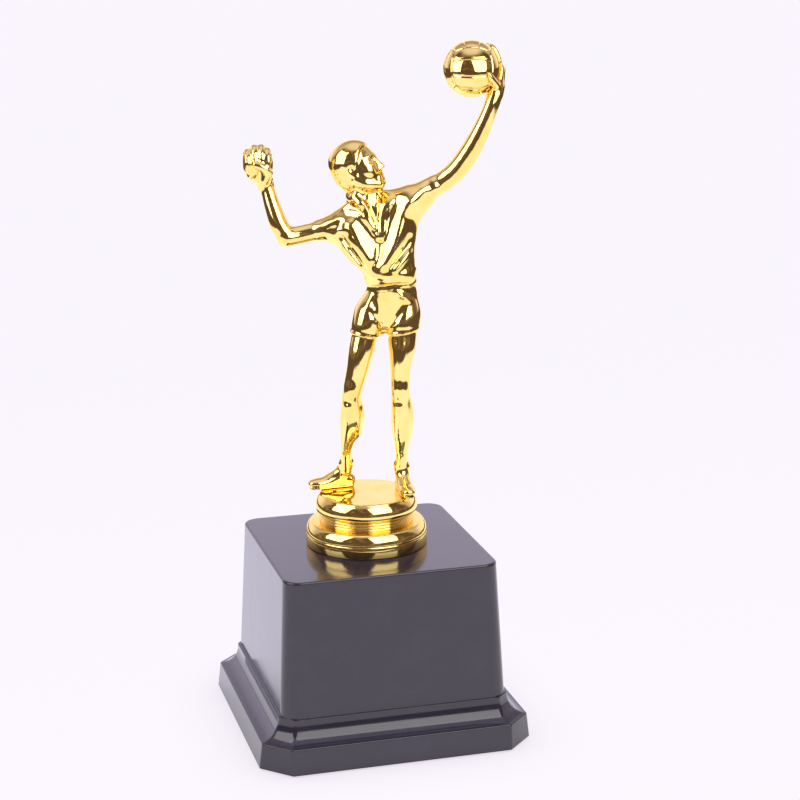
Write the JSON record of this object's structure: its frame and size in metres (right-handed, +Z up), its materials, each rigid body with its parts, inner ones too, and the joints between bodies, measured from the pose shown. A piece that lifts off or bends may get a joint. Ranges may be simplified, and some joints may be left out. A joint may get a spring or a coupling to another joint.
{
  "type": "figure trophy",
  "caption": "Gold metallised volleyball player on a turned collar, bolted through a flared, weighted black square base; the figure turns on its base.",
  "frame": {"origin": "on the table, under the middle of the square base, at the underside of the foot pads", "axes": "+Z up through the centre bolt, -Y out of the front of the base, +X to the right as seen from the front"},
  "size_m": [0.08, 0.08, 0.1992],
  "materials": {
    "base_black": "polished injection-moulded black plastic with fine handling marks",
    "gold_plating": "vacuum-metallised gold mirror under clear lacquer, on moulded plastic",
    "cast_weight": "as-cast",
    "cover_black": "fine matt texture",
    "zinc_steel": "bright zinc plated",
    "pad_rubber": "matt"
  },
  "bodies": {
    "base": {"base_shell": "base_black", "weight_block": "cast_weight", "bottom_cover": "cover_black", "cover_screws": "zinc_steel", "foot_pads": "pad_rubber"},
    "figure": {"collar": "gold_plating", "figure_disc": "gold_plating", "captive_nut": "zinc_steel", "centre_bolt": "zinc_steel", "flat_washer": "zinc_steel", "spring_washer": "zinc_steel", "figure_front_shell": "gold_plating", "figure_back_shell": "gold_plating", "ball": "gold_plating"}
  },
  "joints": [
    {"name": "figure_swivel", "type": "hinge", "parent": "base", "child": "figure", "pos_m": [0, 0, 0.0539], "axis": [0, 0, 1], "continuous": true}
  ]
}
